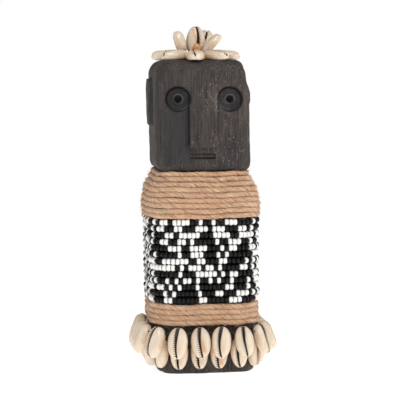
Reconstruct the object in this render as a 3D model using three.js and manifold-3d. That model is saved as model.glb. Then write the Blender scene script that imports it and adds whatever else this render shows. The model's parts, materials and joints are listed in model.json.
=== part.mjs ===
// A carved wooden fertility doll, 213 mm tall: one blackened block with a flat face, bound round
// with jute twine and a strand of seed beads, with two hanging rows of cowrie shells at its foot
// and a flower of cowries glued on its head. Millimetres, +Z up, the face looks along -Y, and the
// origin is the middle of the flat foot.

import * as THREE from 'three';
import { LoftGeometry } from 'three/addons/geometries/LoftGeometry.js';
import { mergeVertices } from 'three/addons/utils/BufferGeometryUtils.js';
import Module from 'manifold-3d';

const wasm = await Module();
wasm.setup();

// ---- driving dimensions ------------------------------------------------------------------

// The block. Every level section is a core rectangle grown outwards by a round margin, so its
// upright edges are rounded. Half widths are measured from the middle to the side. The heights
// of the foot and the trunk follow from what is hung and wound on them.
const LEAN = 0.0147;                 // sideways lean of the carving, mm per mm of height
const TRUNK_CORE = { x: 17.2, y: 15.2 };
const HEAD_CORE = { x: 19.5, y: 17.5 };
const FOOT_HALF_WIDTH = 30.4;        // the bare foot behind the shells
const FOOT_EDGE = 2.5;               // rounding of the bottom edge
const WAIST_HALF_WIDTH = 30.6;       // the straight trunk under the beads
const WAIST_STEP = 2;                // height of the step from foot to waist
const STEP_BELOW_TWINE = 0.6;
const WAIST_ABOVE_BEADS = 0.2;       // the trunk widens from the middle of the top row of beads
const SHOULDER = { aboveWaist: 9, halfWidth: 32.4 };
const COLLAR = { aboveWaist: 18, halfWidth: 30.6 };
const NECK_HALF_WIDTH = 24.0;
const CHIN_EDGE = 4.4;               // rounding under the chin
const HEAD_HALF_WIDTH = 29.2;
const HEAD_HEIGHT = 67.5;            // from the chin to the top
const HEAD_EDGE = 9.4;               // rounding round the top of the head

// The face. Heights are above the chin.
const EYE_HEIGHT = 43.9;
const EYE_SPACING = 32;              // between the two pupils
const EYE_RADIUS = 8.1;
const EYE_GROOVE = { width: 1.4, depth: 1.9 };          // round the inside of the rim
const EYE_FLOOR_DEPTH = 1.4;
const EYE_RING = { radius: 3.5, slope: 0.6, depth: 0.6 };  // the small raised ring round the pupil
const PUPIL_RADIUS = 1.9;
const PUPIL_DEPTH = 3.4;
const NOSE_WIDTH = 16.4;
const NOSE_BOTTOM = 14.5;
const NOSE_TOP = 52.5;
const NOSE_RISE = 2.4;               // how far the cheeks are cut back beside it
const NOSE_OFFSET = -0.9;            // hand-carved, so a little off the middle
const CHEEK_WIDTH = 15;              // how far out the cut runs before it fades away
const CHEEK_FADE = 9;                // height over which its top fades into the brow
const CUT_BOTTOM = 2.5;              // where the cut below the nose has faded away
const MOUTH_HEIGHT = 9.2;
const MOUTH_WIDTH = 16.8;
const MOUTH_OPENING = 3.8;
const MOUTH_DEPTH = 3.4;
const LIP_HEIGHT = 0.9;              // the ridge along the middle of the mouth
const LIP_SET_BACK = 2.2;
const EAR_RISE = 2.6;
const EAR_WIDTH = 12;                // front to back
const LEFT_EAR = { bottom: 24.5, top: 56.5 };
const RIGHT_EAR = { bottom: 38.5, top: 53.5 };

// The windings. Each turn lies level, and steps down to the next level along the back.
const GAP = 0.3;                     // between pieces that touch
const NECK_TWINE = { diameter: 2.87, turns: 9 };
const BEAD_STRAND = { diameter: 3.72, turns: 13 };
const HIP_TWINE = { diameter: 3.1, turns: 4 };

// The hanging shells. Each is pierced near its top end, and hangs on a string round the foot.
// A row holds as many as its string has room for.
const UPPER_SHELL = { length: 19.6, width: 12.7, front: 4.2, back: 2.5 };
const LOWER_SHELL = { length: 19.4, width: 11.2, front: 4.0, back: 2.5 };
const SHELL_ROOM = 0.5;              // least room between neighbours on a string
const FLOOR_CLEARANCE = 3.2;         // under the lower row
const FIRST_SHELL = -5.8;            // along the string from the middle of the front
const STRING_DIAMETER = 0.9;
const STRAIGHT_SHARE = 0.42;         // of a shell's width, from its middle to the string's turn
const HOLE_DIAMETER = 1.8;
const HOLE_FROM_TOP = 3.6;           // from a shell's top end to its hole
const SLIT_DEPTH = 1.3;
const UPPER_TILT = 22;               // degrees out from hanging straight
const UPPER_STRING_PROUD = 1.0;      // how far outside the hip twine the upper string runs
const ROW_SPACE = 3.4;               // between the two strings, outwards
const ROW_DROP = 7.2;                // and downwards
const LOWER_BACK_CLEARANCE = 0.5;    // from the foot's side to the lower shells

// The flower on the head: petals lying flat all round, and others standing up inside them.
const FLOWER_OFFSET = { x: -1.1, y: 1 };
const FLAT_SHELL = { length: 19.4, width: 11.8, front: 3.4, back: 2.4 };
const FLAT_PETAL_START = 8.2;        // from the middle to the petal's inner end
const FLAT_PETAL_ROOM = 1.8;         // least room between neighbours at their widest
const FLAT_PETAL_TURN = -8;          // degrees the ring of petals is turned
const FLAT_PETAL_DROOP = 3;
const STANDING_SHELL = { front: 3.3, back: 2.2 };
// Each has a direction in degrees from +X, a lean from upright, its lower end's distance from the
// middle and rise above the head, and its own length and width.
const STANDING_PETALS = [
  { direction: 82, lean: 16, start: 4.2, rise: 2.4, length: 19.4, width: 12 },
  { direction: 149.5, lean: 20, start: 8.0, rise: 4.2, length: 14.5, width: 9.6 },
  { direction: -6, lean: 42, start: 4.2, rise: 2.8, length: 17, width: 10.4 },
  { direction: 64, lean: 50, start: 8.9, rise: 5.6, length: 19.4, width: 12 },
];
const GLUE_RADIUS = 2.7;
const GLUE_HEIGHT = 9.2;
const GLUE_OFFSET = { x: 0.4, y: -1.65 };

const CORNER_STEPS = 5;              // flat facets round each rounded corner
const THREAD_SIDES = 6;

// ---- materials ---------------------------------------------------------------------------

const wood = new THREE.MeshStandardMaterial({ color: 0x45413e, roughness: 0.75, metalness: 0 });
const jute = new THREE.MeshStandardMaterial({ color: 0xc99a73, roughness: 0.9, metalness: 0 });
const beads = new THREE.MeshStandardMaterial({ color: 0x5d5c5b, roughness: 0.25, metalness: 0 });
const thread = new THREE.MeshStandardMaterial({ color: 0x2a2420, roughness: 0.8, metalness: 0 });
const cowrie = new THREE.MeshStandardMaterial({ color: 0xe6d6c2, roughness: 0.3, metalness: 0 });
const glue = new THREE.MeshStandardMaterial({ color: 0xc88a4a, roughness: 0.35, metalness: 0 });

// ---- helpers -----------------------------------------------------------------------------

const radians = THREE.MathUtils.degToRad;

function solid(geometry) {
  const bare = new THREE.BufferGeometry().copy(geometry);
  bare.deleteAttribute('normal');
  bare.deleteAttribute('uv');
  const merged = mergeVertices(bare, 1e-4);
  return new wasm.Manifold(new wasm.Mesh({
    numProp: 3,
    vertProperties: Float32Array.from(merged.attributes.position.array),
    triVerts: Uint32Array.from(merged.index.array),
  }));
}

function geometryOf(manifold) {
  const mesh = manifold.getMesh();
  const geometry = new THREE.BufferGeometry();
  geometry.setAttribute('position', new THREE.BufferAttribute(mesh.vertProperties, 3));
  geometry.setIndex(new THREE.BufferAttribute(mesh.triVerts, 1));
  geometry.computeVertexNormals();
  return geometry;
}

function named(name, geometry, material) {
  const mesh = new THREE.Mesh(geometry, material);
  mesh.name = name;
  return mesh;
}

// The stations round a core rectangle grown by a margin, anticlockwise from above, starting and
// ending at the back so that the straight run across the back joins the last to the first.
function stationsRound(core, margin) {
  const stations = [];
  const corners = [[-1, 1], [-1, -1], [1, -1], [1, 1]];
  corners.forEach(([sideX, sideY], corner) => {
    for (let step = 0; step <= CORNER_STEPS; step++) {
      const angle = Math.PI / 2 * (1 + corner + step / CORNER_STEPS);
      const normal = new THREE.Vector3(Math.cos(angle), Math.sin(angle), 0);
      const point = new THREE.Vector3(sideX * core.x, sideY * core.y, 0);
      stations.push({ point: point.addScaledVector(normal, margin), normal });
    }
  });
  return stations;
}

// The point and outward normal at a length along the same outline, measured anticlockwise from
// the middle of the front.
function pointAlong(core, margin, length) {
  const arc = Math.PI / 2 * margin;
  const quarters = [
    { run: core.x, corner: [1, -1] }, { run: 2 * core.y, corner: [1, 1] },
    { run: 2 * core.x, corner: [-1, 1] }, { run: 2 * core.y, corner: [-1, -1] },
    { run: core.x, corner: null },
  ];
  let left = THREE.MathUtils.euclideanModulo(length, outlineLength(core, margin));
  let angle = -Math.PI / 2;
  let at = new THREE.Vector3(0, -core.y, 0);
  for (const { run, corner } of quarters) {
    const along = new THREE.Vector3(-Math.sin(angle), Math.cos(angle), 0);
    if (left <= run || corner === null) {
      at = at.addScaledVector(along, left);
      break;
    }
    left -= run;
    at = new THREE.Vector3(corner[0] * core.x, corner[1] * core.y, 0);
    if (left <= arc) {
      angle += left / margin;
      break;
    }
    left -= arc;
    angle += Math.PI / 2;
  }
  const normal = new THREE.Vector3(Math.cos(angle), Math.sin(angle), 0);
  return { point: at.addScaledVector(normal, margin), normal };
}

function outlineLength(core, margin) {
  return 4 * (core.x + core.y) + 2 * Math.PI * margin;
}

// ---- heights, from the floor up ----------------------------------------------------------

const pitchOf = (wound) => wound.diameter + GAP;
// The middle height of a winding's first (top) turn, from the middle height of its last.
const firstTurn = (last, wound) => last + (wound.turns - 1) * pitchOf(wound);
// The middle height of the last turn of the winding above another one.
const above = (first, wound, upper) => first + wound.diameter / 2 + GAP + upper.diameter / 2;

const LOWER_STRING_HEIGHT = FLOOR_CLEARANCE + LOWER_SHELL.length - HOLE_FROM_TOP;
const UPPER_STRING_HEIGHT = LOWER_STRING_HEIGHT + ROW_DROP;
const TWINE_BOTTOM = UPPER_STRING_HEIGHT + HOLE_FROM_TOP + GAP;
const HIP_FIRST = firstTurn(TWINE_BOTTOM + HIP_TWINE.diameter / 2, HIP_TWINE);
const BEADS_FIRST = firstTurn(above(HIP_FIRST, HIP_TWINE, BEAD_STRAND), BEAD_STRAND);
const NECK_FIRST = firstTurn(above(BEADS_FIRST, BEAD_STRAND, NECK_TWINE), NECK_TWINE);
const CHIN = NECK_FIRST + NECK_TWINE.diameter / 2 + GAP;
const HEAD_TOP = CHIN + HEAD_HEIGHT;

// ---- the carved block --------------------------------------------------------------------

const STEP_TOP = TWINE_BOTTOM - STEP_BELOW_TWINE;
const WAIST_TOP = BEADS_FIRST + WAIST_ABOVE_BEADS;
const trunkProfile = [
  [STEP_TOP - WAIST_STEP, FOOT_HALF_WIDTH],
  [STEP_TOP, WAIST_HALF_WIDTH],
  [WAIST_TOP, WAIST_HALF_WIDTH],
  [WAIST_TOP + SHOULDER.aboveWaist / 2, (WAIST_HALF_WIDTH + 2 * SHOULDER.halfWidth) / 3],
  [WAIST_TOP + SHOULDER.aboveWaist, SHOULDER.halfWidth],
  [WAIST_TOP + COLLAR.aboveWaist, COLLAR.halfWidth],
  [CHIN, NECK_HALF_WIDTH],
];

function trunkHalfWidth(height) {
  for (let i = 1; i < trunkProfile.length; i++) {
    const [low, widthLow] = trunkProfile[i - 1];
    const [high, widthHigh] = trunkProfile[i];
    if (height <= high) {
      const share = Math.max(0, (height - low) / (high - low));
      return THREE.MathUtils.lerp(widthLow, widthHigh, share);
    }
  }
  return NECK_HALF_WIDTH;
}

function leaning(point, height) {
  return new THREE.Vector3(point.x - LEAN * height, point.y, height);
}

function sectionOfBlock(core, halfWidth, height) {
  return stationsRound(core, halfWidth - core.x).map(({ point }) => leaning(point, height));
}

function buildBlock() {
  const rings = [];
  const edge = [0, 1, 2].map((step) => step * Math.PI / 4);
  for (const angle of edge) {
    const inset = FOOT_EDGE * (1 - Math.sin(angle));
    rings.push(sectionOfBlock(TRUNK_CORE, FOOT_HALF_WIDTH - inset, FOOT_EDGE * (1 - Math.cos(angle))));
  }
  for (const [height, halfWidth] of trunkProfile) {
    rings.push(sectionOfBlock(TRUNK_CORE, halfWidth, height));
  }
  const widestEdge = HEAD_HALF_WIDTH - HEAD_CORE.x - GAP;   // an edge can't round past the core
  const chinEdge = Math.min(CHIN_EDGE, widestEdge);
  for (const angle of edge) {
    const inset = chinEdge * (1 - Math.sin(angle));
    const height = CHIN + chinEdge * (1 - Math.cos(angle));
    rings.push(sectionOfBlock(HEAD_CORE, HEAD_HALF_WIDTH - inset, height));
  }
  const headEdge = Math.min(HEAD_EDGE, widestEdge);
  for (let step = 0; step <= 4; step++) {
    const angle = step * Math.PI / 8;
    const inset = headEdge * (1 - Math.cos(angle));
    const height = HEAD_TOP - headEdge * (1 - Math.sin(angle));
    rings.push(sectionOfBlock(HEAD_CORE, HEAD_HALF_WIDTH - inset, height));
  }
  return solid(new LoftGeometry(rings, { capStart: true, capEnd: true }));
}

const FACE = HEAD_CORE.y + HEAD_HALF_WIDTH - HEAD_CORE.x;   // from the middle to the face
const CUT_OVERRUN = 6;                                      // a cutter stands this far proud

// A point on the face, or on the head's middle plane, leaning with the carving.
const onFace = (x, aboveChin) => [x - LEAN * (CHIN + aboveChin), -FACE, CHIN + aboveChin];

// A cutter turned round the eye's axis: the groove inside the rim, the floor, the small ring and
// the pupil.
function eyeCutter(side) {
  const profile = [
    [0, -PUPIL_DEPTH],
    [PUPIL_RADIUS, -PUPIL_DEPTH],
    [PUPIL_RADIUS, -EYE_RING.depth],
    [EYE_RING.radius, -EYE_RING.depth],
    [EYE_RING.radius + EYE_RING.slope, -EYE_FLOOR_DEPTH],
    [EYE_RADIUS - EYE_GROOVE.width, -EYE_FLOOR_DEPTH],
    [EYE_RADIUS - EYE_GROOVE.width / 2, -EYE_GROOVE.depth],
    [EYE_RADIUS, 0],
    [EYE_RADIUS, CUT_OVERRUN],
    [0, CUT_OVERRUN],
  ];
  const points = profile.map(([radius, rise]) => new THREE.Vector2(radius, rise));
  const cutter = new THREE.LatheGeometry(points, 24);
  cutter.rotateX(Math.PI);
  cutter.translate(...onFace(side * EYE_SPACING / 2, EYE_HEIGHT));
  return solid(cutter);
}

// A wedge that leaves the side of the nose standing and fades out towards the ear and the brow.
function cheekCutter(side) {
  const top = NOSE_TOP - NOSE_BOTTOM;
  const wide = side * CHEEK_WIDTH;
  const corners = [[0, NOSE_RISE, 0], [0, NOSE_RISE, top - CHEEK_FADE]];
  for (const height of [0, top]) {
    corners.push([0, 0, height], [wide, 0, height]);
    corners.push([0, -CUT_OVERRUN, height], [wide, -CUT_OVERRUN, height]);
  }
  return wasm.Manifold.hull(corners)
    .translate(onFace(NOSE_OFFSET + side * NOSE_WIDTH / 2, NOSE_BOTTOM));
}

// Goes on from the two cheek cuts, leaves the underside of the nose standing, and fades out
// towards the chin.
function lowerFaceCutter() {
  const corners = [];
  for (const side of [-1, 1]) {
    const inner = side * NOSE_WIDTH / 2;
    const outer = inner + side * CHEEK_WIDTH;
    const below = CUT_BOTTOM - NOSE_BOTTOM;
    corners.push([inner, NOSE_RISE, 0], [outer, 0, 0], [inner, 0, below], [outer, 0, below]);
    corners.push([outer, -CUT_OVERRUN, 0], [outer, -CUT_OVERRUN, below]);
  }
  return wasm.Manifold.hull(corners).translate(onFace(NOSE_OFFSET, NOSE_BOTTOM));
}

function mouthCutter() {
  const slot = new THREE.BoxGeometry(MOUTH_WIDTH, 2 * MOUTH_DEPTH, MOUTH_OPENING);
  const lip = new THREE.BoxGeometry(MOUTH_WIDTH + GAP, 2 * MOUTH_DEPTH, LIP_HEIGHT);
  lip.translate(0, MOUTH_DEPTH + LIP_SET_BACK, 0);
  return solid(slot).subtract(solid(lip))
    .translate(onFace(NOSE_OFFSET, MOUTH_HEIGHT));
}

// A low rounded ridge on the side of the head.
function earRidge(side, ear) {
  const middle = CHIN + (ear.bottom + ear.top) / 2;
  const ridge = new THREE.SphereGeometry(1, 12, 8);
  ridge.rotateX(Math.PI / 2);
  ridge.scale(2 * EAR_RISE, EAR_WIDTH / 2, (ear.top - ear.bottom) / 2);
  ridge.translate(side * (HEAD_HALF_WIDTH - EAR_RISE) - LEAN * middle, 0, middle);
  return solid(ridge);
}

function carvedBody() {
  const carved = buildBlock()
    .add(earRidge(-1, LEFT_EAR))
    .add(earRidge(1, RIGHT_EAR))
    .subtract(cheekCutter(-1))
    .subtract(cheekCutter(1))
    .subtract(lowerFaceCutter())
    .subtract(eyeCutter(-1))
    .subtract(eyeCutter(1))
    .subtract(mouthCutter());
  return named('carved_body', geometryOf(carved), wood);
}

// ---- the windings ------------------------------------------------------------------------

// The ring of points round one station of a thread.
function threadRing(centre, normal, radius) {
  const ring = [];
  for (let side = 0; side < THREAD_SIDES; side++) {
    const angle = side / THREAD_SIDES * 2 * Math.PI;
    ring.push(centre.clone()
      .addScaledVector(normal, radius * Math.cos(angle))
      .add(new THREE.Vector3(0, 0, -radius * Math.sin(angle))));
  }
  return ring;
}

// One thread wound tightly round the trunk, turn below turn, clear of the widest wood it passes.
function winding(name, wound, firstHeight, material) {
  const radius = wound.diameter / 2;
  const rings = [];
  for (let turn = 0; turn < wound.turns; turn++) {
    const height = firstHeight - turn * pitchOf(wound);
    const levels = [height - radius, height, height + radius];
    const halfWidth = Math.max(...levels.map(trunkHalfWidth));
    const margin = halfWidth - TRUNK_CORE.x + GAP + radius;
    for (const { point, normal } of stationsRound(TRUNK_CORE, margin)) {
      rings.push(threadRing(leaning(point, height), normal, radius));
    }
  }
  const geometry = new LoftGeometry(rings, { capStart: true, capEnd: true });
  return named(name, geometry, material);
}

// ---- the cowrie shells -------------------------------------------------------------------

// A cowrie with its humped back ground off. The length runs down -Z from the top end, and the
// slit runs down the middle of the rounded side, which faces -Y. The columns of points round
// the shell start at the bottom of the slit, and its lips are the two beside it.
function cowrieGeometry({ length, width, front, back }, topEnd) {
  const columns = [0, 15, 65, 112, 180, 248, 295, 345].map(radians);
  const widest = Math.max(...columns.map(Math.sin));
  const bands = 6;
  const flatness = 1.6;              // how soon the back reaches its full depth
  const profile = [];
  for (let band = 0; band <= bands; band++) {
    const angle = Math.PI * (1 - band / bands);
    const radius = band % bands === 0 ? 0 : Math.sin(angle);
    profile.push(new THREE.Vector2(radius, Math.cos(angle)));
  }
  const shell = new THREE.LatheGeometry(profile, columns.length);
  const position = shell.attributes.position;
  for (let i = 0; i < position.count; i++) {
    const ring = Math.hypot(position.getX(i), position.getZ(i));
    const turn = Math.atan2(position.getX(i), position.getZ(i)) / (2 * Math.PI) * columns.length;
    const column = (Math.round(turn) + columns.length) % columns.length;
    const angle = columns[column];
    const reach = Math.cos(angle) > 0
      ? -front * Math.cos(angle)
      : back * Math.min(1, -flatness * Math.cos(angle));
    const slit = column === 0 ? Math.min(SLIT_DEPTH, front * ring / 2) : 0;
    const along = (position.getY(i) - 1) * length / 2;
    const aside = width / 2 * ring * Math.sin(angle) / widest;
    position.setXYZ(i, aside, reach * ring + slit, along + topEnd);
  }
  return shell;
}

// Puts a piece at a point with its rounded side facing outwards, then swings its lower end out
// by the tilt: 0 hangs straight down, 90 lies flat and 180 stands up.
function pose(mesh, point, normal, tilt) {
  mesh.rotation.order = 'ZXY';
  mesh.rotation.set(-radians(tilt), 0, Math.atan2(normal.x, -normal.y));
  mesh.position.copy(point);
  return mesh;
}

const numbered = (name, index) => `${name}_${String(index + 1).padStart(2, '0')}`;

// A row of pierced shells at equal spacing round the foot, and the string through their holes.
// The string runs straight through each shell, and turns between one shell and the next.
function shellRow(prefix, size, margin, height, tilt) {
  const stringLength = outlineLength(TRUNK_CORE, margin);
  const count = Math.floor(stringLength / (size.width + SHELL_ROOM));
  const spacing = stringLength / count;
  const drill = new THREE.CylinderGeometry(HOLE_DIAMETER / 2, HOLE_DIAMETER / 2, 2 * size.width, 6);
  drill.rotateZ(Math.PI / 2);
  const pierced = geometryOf(solid(cowrieGeometry(size, HOLE_FROM_TOP)).subtract(solid(drill)));
  const shells = [];
  const corners = [];
  for (let i = 0; i < count; i++) {
    const { point, normal } = pointAlong(TRUNK_CORE, margin, FIRST_SHELL + i * spacing);
    const hole = leaning(point, height);
    const along = new THREE.Vector3(-normal.y, normal.x, 0);
    shells.push(pose(named(numbered(`${prefix}_cowrie`, i), pierced, cowrie), hole, normal, tilt));
    for (const way of [-1, 1]) {
      corners.push(hole.clone().addScaledVector(along, way * size.width * STRAIGHT_SHARE));
    }
  }
  const rings = corners.map((corner, i) => {
    const before = corners.at(i - 1);
    const after = corners[(i + 1) % corners.length];
    const along = corner.clone().sub(before).normalize().add(after.clone().sub(corner).normalize());
    const normal = new THREE.Vector3(along.y, -along.x, 0).normalize();
    return threadRing(corner, normal, STRING_DIAMETER / 2);
  });
  rings.push(rings[0]);
  return [...shells, named(`${prefix}_string`, new LoftGeometry(rings), thread)];
}

// How far outside the core each string runs: the lower one clears the foot, and the upper one
// clears both the lower row and the waist.
const LOWER_MARGIN = FOOT_HALF_WIDTH - TRUNK_CORE.x + LOWER_SHELL.back + LOWER_BACK_CLEARANCE;
const TWINE_MARGIN = WAIST_HALF_WIDTH - TRUNK_CORE.x + GAP + HIP_TWINE.diameter;
const UPPER_MARGIN = Math.max(LOWER_MARGIN + ROW_SPACE, TWINE_MARGIN + UPPER_STRING_PROUD);

// ---- the flower on the head --------------------------------------------------------------

function flower() {
  const pieces = [];
  const centre = leaning(new THREE.Vector3(FLOWER_OFFSET.x, FLOWER_OFFSET.y, 0), HEAD_TOP);
  const petal = (shape, name, direction, start, rise, tilt) => {
    const normal = new THREE.Vector3(Math.cos(direction), Math.sin(direction), 0);
    const point = centre.clone().addScaledVector(normal, start);
    point.z += rise;
    return pose(named(name, shape, cowrie), point, normal, tilt);
  };
  const flat = cowrieGeometry(FLAT_SHELL, 0);
  const widestAt = FLAT_PETAL_START + FLAT_SHELL.length / 2;
  const halfTurn = Math.asin((FLAT_SHELL.width + FLAT_PETAL_ROOM) / 2 / widestAt);
  const count = Math.floor(Math.PI / halfTurn);
  const endDroop = FLAT_SHELL.length / 2 * Math.sin(radians(FLAT_PETAL_DROOP));
  for (let i = 0; i < count; i++) {
    const direction = radians(FLAT_PETAL_TURN - 90) + i * 2 * Math.PI / count;
    const rise = FLAT_SHELL.back + GAP + endDroop;
    const name = numbered('crown_flat_cowrie', i);
    pieces.push(petal(flat, name, direction, FLAT_PETAL_START, rise, 90 - FLAT_PETAL_DROOP));
  }
  STANDING_PETALS.forEach(({ direction, lean, start, rise, length, width }, i) => {
    const name = numbered('crown_standing_cowrie', i);
    const standing = cowrieGeometry({ ...STANDING_SHELL, length, width }, 0);
    pieces.push(petal(standing, name, radians(direction), start, rise, 180 - lean));
  });
  const dome = [new THREE.Vector2(0, 0)];
  for (let step = 0; step <= 4; step++) {
    const angle = step * Math.PI / 8;
    dome.push(new THREE.Vector2(GLUE_RADIUS * Math.cos(angle), GLUE_HEIGHT * Math.sin(angle)));
  }
  dome[dome.length - 1].x = 0;
  const blob = new THREE.LatheGeometry(dome, 12);
  blob.rotateX(Math.PI / 2);
  blob.translate(centre.x + GLUE_OFFSET.x, centre.y + GLUE_OFFSET.y, centre.z + GAP);
  pieces.push(named('crown_glue', blob, glue));
  return pieces;
}

// ---- the doll ----------------------------------------------------------------------------

const doll = new THREE.Group();
doll.name = 'fertility_doll';
doll.add(
  carvedBody(),
  winding('neck_twine', NECK_TWINE, NECK_FIRST, jute),
  winding('bead_strand', BEAD_STRAND, BEADS_FIRST, beads),
  winding('hip_twine', HIP_TWINE, HIP_FIRST, jute),
  ...shellRow('upper', UPPER_SHELL, UPPER_MARGIN, UPPER_STRING_HEIGHT, UPPER_TILT),
  ...shellRow('lower', LOWER_SHELL, LOWER_MARGIN, LOWER_STRING_HEIGHT, 0),
  ...flower(),
);

export default doll;
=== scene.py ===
# %% [markdown]
# # A carved doll with twine, beads and cowries
#
# The doll is one blackened block of wood with a flat, carved face. Jute twine is wound round its
# neck and hips, a strand of glass seed beads round its trunk, two rows of cowrie shells hang round
# its foot, and a flower of cowries is glued on its head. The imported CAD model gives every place
# and size, so it is loaded first and never changed. Each detailed piece below takes the place of a
# plain CAD node, and rides on the same body.

# %% Load the fixed frame
import json
import math
import random
from contextlib import contextmanager

import bmesh
import bpy
import numpy as np
from mathutils import Matrix, Vector, noise


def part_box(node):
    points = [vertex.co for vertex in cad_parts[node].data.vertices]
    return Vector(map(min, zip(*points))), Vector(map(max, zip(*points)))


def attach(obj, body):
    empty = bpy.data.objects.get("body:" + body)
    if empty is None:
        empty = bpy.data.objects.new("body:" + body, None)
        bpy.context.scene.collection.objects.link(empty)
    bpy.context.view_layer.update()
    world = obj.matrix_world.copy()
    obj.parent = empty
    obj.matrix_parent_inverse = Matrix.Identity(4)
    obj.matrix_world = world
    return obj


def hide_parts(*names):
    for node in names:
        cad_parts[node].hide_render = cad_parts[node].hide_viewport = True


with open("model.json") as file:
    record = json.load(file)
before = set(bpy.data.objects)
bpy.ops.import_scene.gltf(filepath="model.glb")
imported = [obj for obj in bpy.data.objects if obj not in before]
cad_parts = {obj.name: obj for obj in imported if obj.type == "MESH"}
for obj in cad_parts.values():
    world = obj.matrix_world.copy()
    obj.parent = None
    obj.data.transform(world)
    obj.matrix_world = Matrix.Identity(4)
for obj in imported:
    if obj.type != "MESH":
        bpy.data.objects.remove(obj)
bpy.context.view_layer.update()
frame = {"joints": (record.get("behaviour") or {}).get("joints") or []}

MM = 0.001
scene = bpy.context.scene

# %% [markdown]
# ## Camera, floor and light
#
# A long lens keeps the block's sides almost parallel. It looks down a little, from slightly to the
# left. The background is plain: a pale floor under a pale sky. One large soft light above the
# camera and one on each side wrap round the black wood, so that the carving shows without a hard
# shadow.

# %% Camera, floor and light
AIM = Vector((-1.25, 0, 104.5)) * MM
CAMERA_DISTANCE = 955 * MM
CAMERA_HEIGHT = 188.2 * MM
CAMERA_TURN = math.radians(8)        # to the left of straight ahead

camera_data = bpy.data.cameras.new("camera")
camera_data.lens = 137.5
camera_data.sensor_width = 36
camera_data.clip_start = 0.05
camera = bpy.data.objects.new("camera", camera_data)
scene.collection.objects.link(camera)
camera.location = (AIM.x - CAMERA_DISTANCE * math.sin(CAMERA_TURN),
                   -CAMERA_DISTANCE * math.cos(CAMERA_TURN), CAMERA_HEIGHT)
camera.rotation_euler = (AIM - camera.location).to_track_quat("-Z", "Y").to_euler()
scene.camera = camera


def soft_light(name, place, size, watts, colour=(1, 1, 1)):
    """A square area light that faces the doll."""
    data = bpy.data.lights.new(name, "AREA")
    data.size, data.energy, data.color = size, watts, colour
    light = bpy.data.objects.new(name, data)
    scene.collection.objects.link(light)
    light.location = place
    aim = Vector((0, 0, 0.1)) - light.location
    light.rotation_euler = aim.to_track_quat("-Z", "Y").to_euler()


soft_light("light_above", (0.1, -0.7, 1.15), 0.7, 8.1)
soft_light("light_right", (1.1, -0.5, 0.5), 0.6, 3.8, (1, 0.98, 0.95))
soft_light("light_left", (-1.1, -0.35, 0.5), 0.6, 2.0, (0.95, 0.98, 1))

# the sky looks white, but lights the doll much less than a white sky would
sky = bpy.data.worlds.new("sky")
sky.use_nodes = True
background = sky.node_tree.nodes["Background"]
background.inputs["Color"].default_value = (1, 1, 1, 1)
seen = sky.node_tree.nodes.new("ShaderNodeLightPath").outputs["Is Camera Ray"]
strength = sky.node_tree.nodes.new("ShaderNodeMapRange")
strength.inputs["To Min"].default_value = 0.27
sky.node_tree.links.new(seen, strength.inputs["Value"])
sky.node_tree.links.new(strength.outputs["Result"], background.inputs["Strength"])
scene.world = sky
scene.view_settings.view_transform = "Standard"

bpy.ops.object.select_all(action="DESELECT")
bpy.ops.mesh.primitive_plane_add(size=14, location=(0, 0, 0))
floor = bpy.context.object
floor.name = "floor"

# %% [markdown]
# ## Writing materials as sums
#
# A material's node tree is hard to read as a list of links. `Wire` wraps one output socket, so that
# `1 - mask * 0.5` adds the Math nodes by itself. `Finish` is one material: its `node` method adds
# any other node from its type, its settings and its inputs.

# %% Colours and wires


def hue(code):
    """A colour from its six-digit code, as the linear numbers that a socket wants."""
    parts = [int(code[i:i + 2], 16) / 255 for i in (0, 2, 4)]
    linear = [p / 12.92 if p < 0.04045 else ((p + 0.055) / 1.055) ** 2.4 for p in parts]
    return (*linear, 1.0)


class Wire:
    """An output socket. Python's operators on it add Math nodes."""

    def __init__(self, finish, socket):
        self.finish, self.socket = finish, socket

    def maths(self, operation, *values):
        return self.finish.node("Math", {"operation": operation}, values)

    def __add__(self, other):
        return self.maths("ADD", self, other)

    def __sub__(self, other):
        return self.maths("SUBTRACT", self, other)

    def __rsub__(self, other):
        return self.maths("SUBTRACT", other, self)

    def __mul__(self, other):
        return self.maths("MULTIPLY", self, other)

    def __pow__(self, other):
        return self.maths("POWER", self, other)

    def __abs__(self):
        return self.maths("ABSOLUTE", self)

    __radd__ = __add__
    __rmul__ = __mul__


# %% Finishes


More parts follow.
